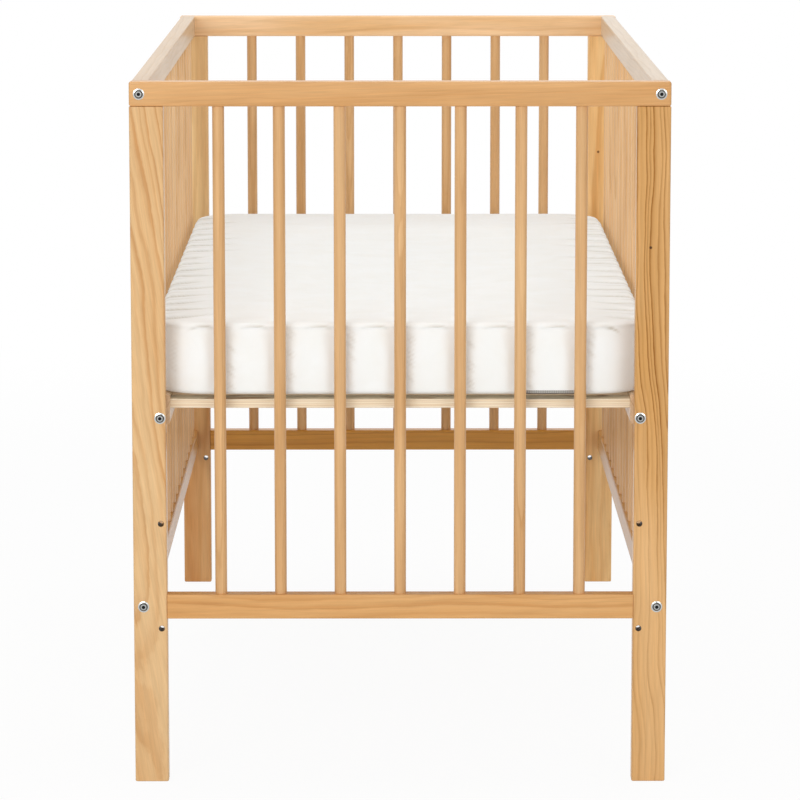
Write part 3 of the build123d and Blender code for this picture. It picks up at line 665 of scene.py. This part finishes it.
def mattressSurface(look):
    # two parameters, round the plan and round the section; then the recesses are pushed in along the
    # outline's normal, and creases and the dish are pushed down from the top
    outline, facing = planOutline(look)
    section = mattressSection(look)
    inset, level, shrink = (section[:, k][:, None] for k in range(3))
    x = (outline[None, :, 0] - facing[None, :, 0] * inset) * shrink
    y = (outline[None, :, 1] - facing[None, :, 1] * inset) * shrink
    z = np.repeat(level, outline.shape[0], axis=1)
    onEnd = smooth(np.abs(facing[:, 1]), 0.55, 0.95)[None, :]
    onSide = smooth(np.abs(facing[:, 0]), 0.55, 0.95)[None, :]
    # recesses behind the bars end below the top edge, and widen upwards, so that each bulge ends in an arch
    window = smooth(high[2] - z, look["recessTop"] * 0.35, look["recessTop"] * 1.5)
    window = window * smooth(z - low[2], -0.002, look["recessBottom"])
    widen = 1 + look["archWiden"] * smooth(z, high[2] - 0.042, high[2] - 0.012)
    recess = window * (
        onEnd * recessAt(x, endBarPlaces, look, widen) + onSide * recessAt(y, sideBarPlaces, look, widen)
    )
    # up the side the foam swells by half a sine wave
    height = np.clip((z - low[2]) / (high[2] - low[2]), 0, 1)
    full = look["sideFullness"] * (np.sin(np.pi * height) - 1) * (shrink > 0.99) * (inset < 0.001)
    # painted shade on the cloth: in the recesses, on the flank wrinkles, and along the lower edge of each end,
    # which lies in the slat's shade
    lowerEdge = smooth(z - low[2], 0.005, 0.001) * (inset < 0.02) * (shrink > 0.99)
    paintedShade = (look["recessShade"] * recess + look["wrinkleShade"] * flankWrinkleShade(x, z, look) * window * onEnd
              + look["edgeShade"] * lowerEdge * onEnd)
    push = look["recessDepth"] * recess - full
    x = x - facing[None, :, 0] * push
    y = y - facing[None, :, 1] * push
    # the top is dished, with creases and folds in it
    rng = np.random.default_rng(look["seed"])
    creaseDrop, creaseShade = sideCreases(x, y, z, look, rng)
    archDrop, archShade = endArches(x, y, z, look, rng)
    dip = (1 - np.clip(np.abs(x) / high[0], 0, 1) ** 2) * (1 - np.clip(np.abs(y) / high[1], 0, 1) ** 4)
    drop = look["dish"] * dip + creaseDrop + archDrop + topFolds(x, y, look)
    onTop = smooth(z, high[2] - 0.012, high[2] - 0.001)
    # the painted shade of the recesses, wrinkles, lower edge, creases and arches is returned with the shape
    return x, y, z - drop * onTop, np.clip(paintedShade + creaseShade + archShade, 0, 1)


def meshFromGrid(name, x, y, z, poles):
    # a grid closed round its first parameter, with a pole at each end of the second
    rows, columns = x.shape
    grid = np.stack([x, y, z], -1).reshape(-1, 3)
    vertices = np.vstack([grid, poles])
    row, column = np.meshgrid(np.arange(rows - 1), np.arange(columns), indexing="ij")
    nextColumn = (column + 1) % columns
    quads = np.stack([row * columns + column, row * columns + nextColumn,
                      (row + 1) * columns + nextColumn, (row + 1) * columns + column], -1).reshape(-1, 4)
    ring = np.arange(columns)
    after = (ring + 1) % columns
    firstPole, lastPole = rows * columns, rows * columns + 1
    under = np.stack([after, ring, np.full(columns, firstPole)], -1)
    top = (rows - 1) * columns
    over = np.stack([top + ring, top + after, np.full(columns, lastPole)], -1)
    mesh = bpy.data.meshes.new(name)
    mesh.from_pydata(vertices.tolist(), [], quads.tolist() + under.tolist() + over.tolist())
    mesh.shade_smooth()
    mesh.update()
    piece = bpy.data.objects.new(name, mesh)
    bpy.context.scene.collection.objects.link(piece)
    return piece


def knittedCover(name, look):
    # white double knit: no shine, a faint pale edge, loops about a millimetre apart and soft folds
    material, tree, output = newMaterial(name)
    place = addNode(tree, "ShaderNodeTexCoord").outputs["Object"]
    loops = addNode(tree, "ShaderNodeTexNoise", {"Vector": place, "Scale": 1000 / look["loop"], "Detail": 1})
    folds = addNode(tree, "ShaderNodeTexNoise",
                    {"Vector": place, "Scale": look["foldsPerMetre"], "Detail": 3, "Roughness": 0.5,
                     "Distortion": 0.6})
    foldBump = addNode(tree, "ShaderNodeBump", {"Height": folds, "Strength": 0.35, "Distance": 0.004})
    bump = addNode(tree, "ShaderNodeBump",
                   {"Height": loops, "Strength": 0.25, "Distance": 0.0003, "Normal": foldBump})
    tintFit = addNode(tree, "ShaderNodeMapRange", {"Value": folds, "From Min": 0.3, "From Max": 0.7})
    # painted shade: the cloth is tinted darker and warmer where shade falls, in recesses, creases and wrinkles
    # and along the lower edge
    shadeAmount = addNode(tree, "ShaderNodeAttribute", attribute_name="paintedShade").outputs["Fac"]
    shadeShare = addNode(tree, "ShaderNodeMath", {0: shadeAmount, 1: look["paintedShadeShare"]}, operation="MULTIPLY")
    tint = linearColour(look["white"])
    for amount, colour in ((tintFit, "warm"), (shadeShare, "paintedShade")):
        tint = addNode(tree, "ShaderNodeMix", {0: amount, 6: tint, 7: linearColour(look[colour])},
                       data_type="RGBA").outputs[2]
    # a short run of the cover's grey zip shows at the foot of the front end, over its black tape
    parts = addNode(tree, "ShaderNodeSeparateXYZ", {0: place}).outputs
    zipMiddle, zipHalf = (look["zipFrom"] + look["zipTo"]) / 2, (look["zipTo"] - look["zipFrom"]) / 2
    within = addNode(tree, "ShaderNodeMath", {0: parts["X"], 1: zipMiddle, 2: zipHalf}, operation="COMPARE")
    atFront = addNode(tree, "ShaderNodeMath", {0: parts["Y"], 1: look["zipFront"]}, operation="LESS_THAN")
    within = addNode(tree, "ShaderNodeMath", {0: within, 1: atFront}, operation="MULTIPLY")
    teeth = addNode(tree, "ShaderNodeMath", {0: parts["X"], 1: look["tooth"]}, operation="PINGPONG")
    teeth = addNode(tree, "ShaderNodeMath", {0: teeth, 1: look["tooth"]}, operation="DIVIDE")
    pale, dark = (linearColour(colour) for colour in look["teeth"])
    grey = addNode(tree, "ShaderNodeMix", {0: teeth, 6: pale, 7: dark}, data_type="RGBA").outputs[2]
    for top, colour in ((look["zipTop"], grey), (look["tapeTop"], linearColour(look["tape"]))):
        under = addNode(tree, "ShaderNodeMath", {0: parts["Z"], 1: top}, operation="LESS_THAN")
        share = addNode(tree, "ShaderNodeMath", {0: within, 1: under}, operation="MULTIPLY")
        tint = addNode(tree, "ShaderNodeMix", {0: share, 6: tint, 7: colour}, data_type="RGBA").outputs[2]
    surface = addNode(
        tree, "ShaderNodeBsdfPrincipled",
        {"Base Color": tint, "Roughness": 0.92, "IOR": 1.45, "Normal": bump,
         "Sheen Weight": 0.15, "Sheen Roughness": 0.5},
    )
    tree.links.new(surface.outputs[0], output.inputs["Surface"])
    return material


coverLook = {
    "loop": 0.9, "foldsPerMetre": 22, "white": "#FBFEFE", "warm": "#F8FAF8", "paintedShade": "#BDB6A6",
    "paintedShadeShare": 0.9, "zipFrom": 0.150, "zipTo": 0.212, "zipFront": -0.585, "zipTop": 0.4822,
    "tapeTop": 0.4788, "tooth": 0.0011, "teeth": ("#C2C1BD", "#8F8D88"), "tape": "#1C1B1B",
}
x, y, z, paintedShade = mattressSurface(mattressLook)
poles = [(0, 0, low[2]), (0, 0, high[2] - mattressLook["dish"])]
mattressCover = meshFromGrid("mattressCover", x, y, z, poles)
# painted shade, one value for each point of the cover
shadeValues = mattressCover.data.attributes.new("paintedShade", "FLOAT", "POINT")
shadeValues.data.foreach_set("value", np.concatenate([paintedShade.ravel(), [0, 0]]).astype(np.float32))
mattressCover.data.materials.append(knittedCover("white cotton knit, mattress cover", coverLook))
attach(mattressCover, "mattress")
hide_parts("mattress")
print("mattress made:", len(mattressCover.data.polygons), "faces")
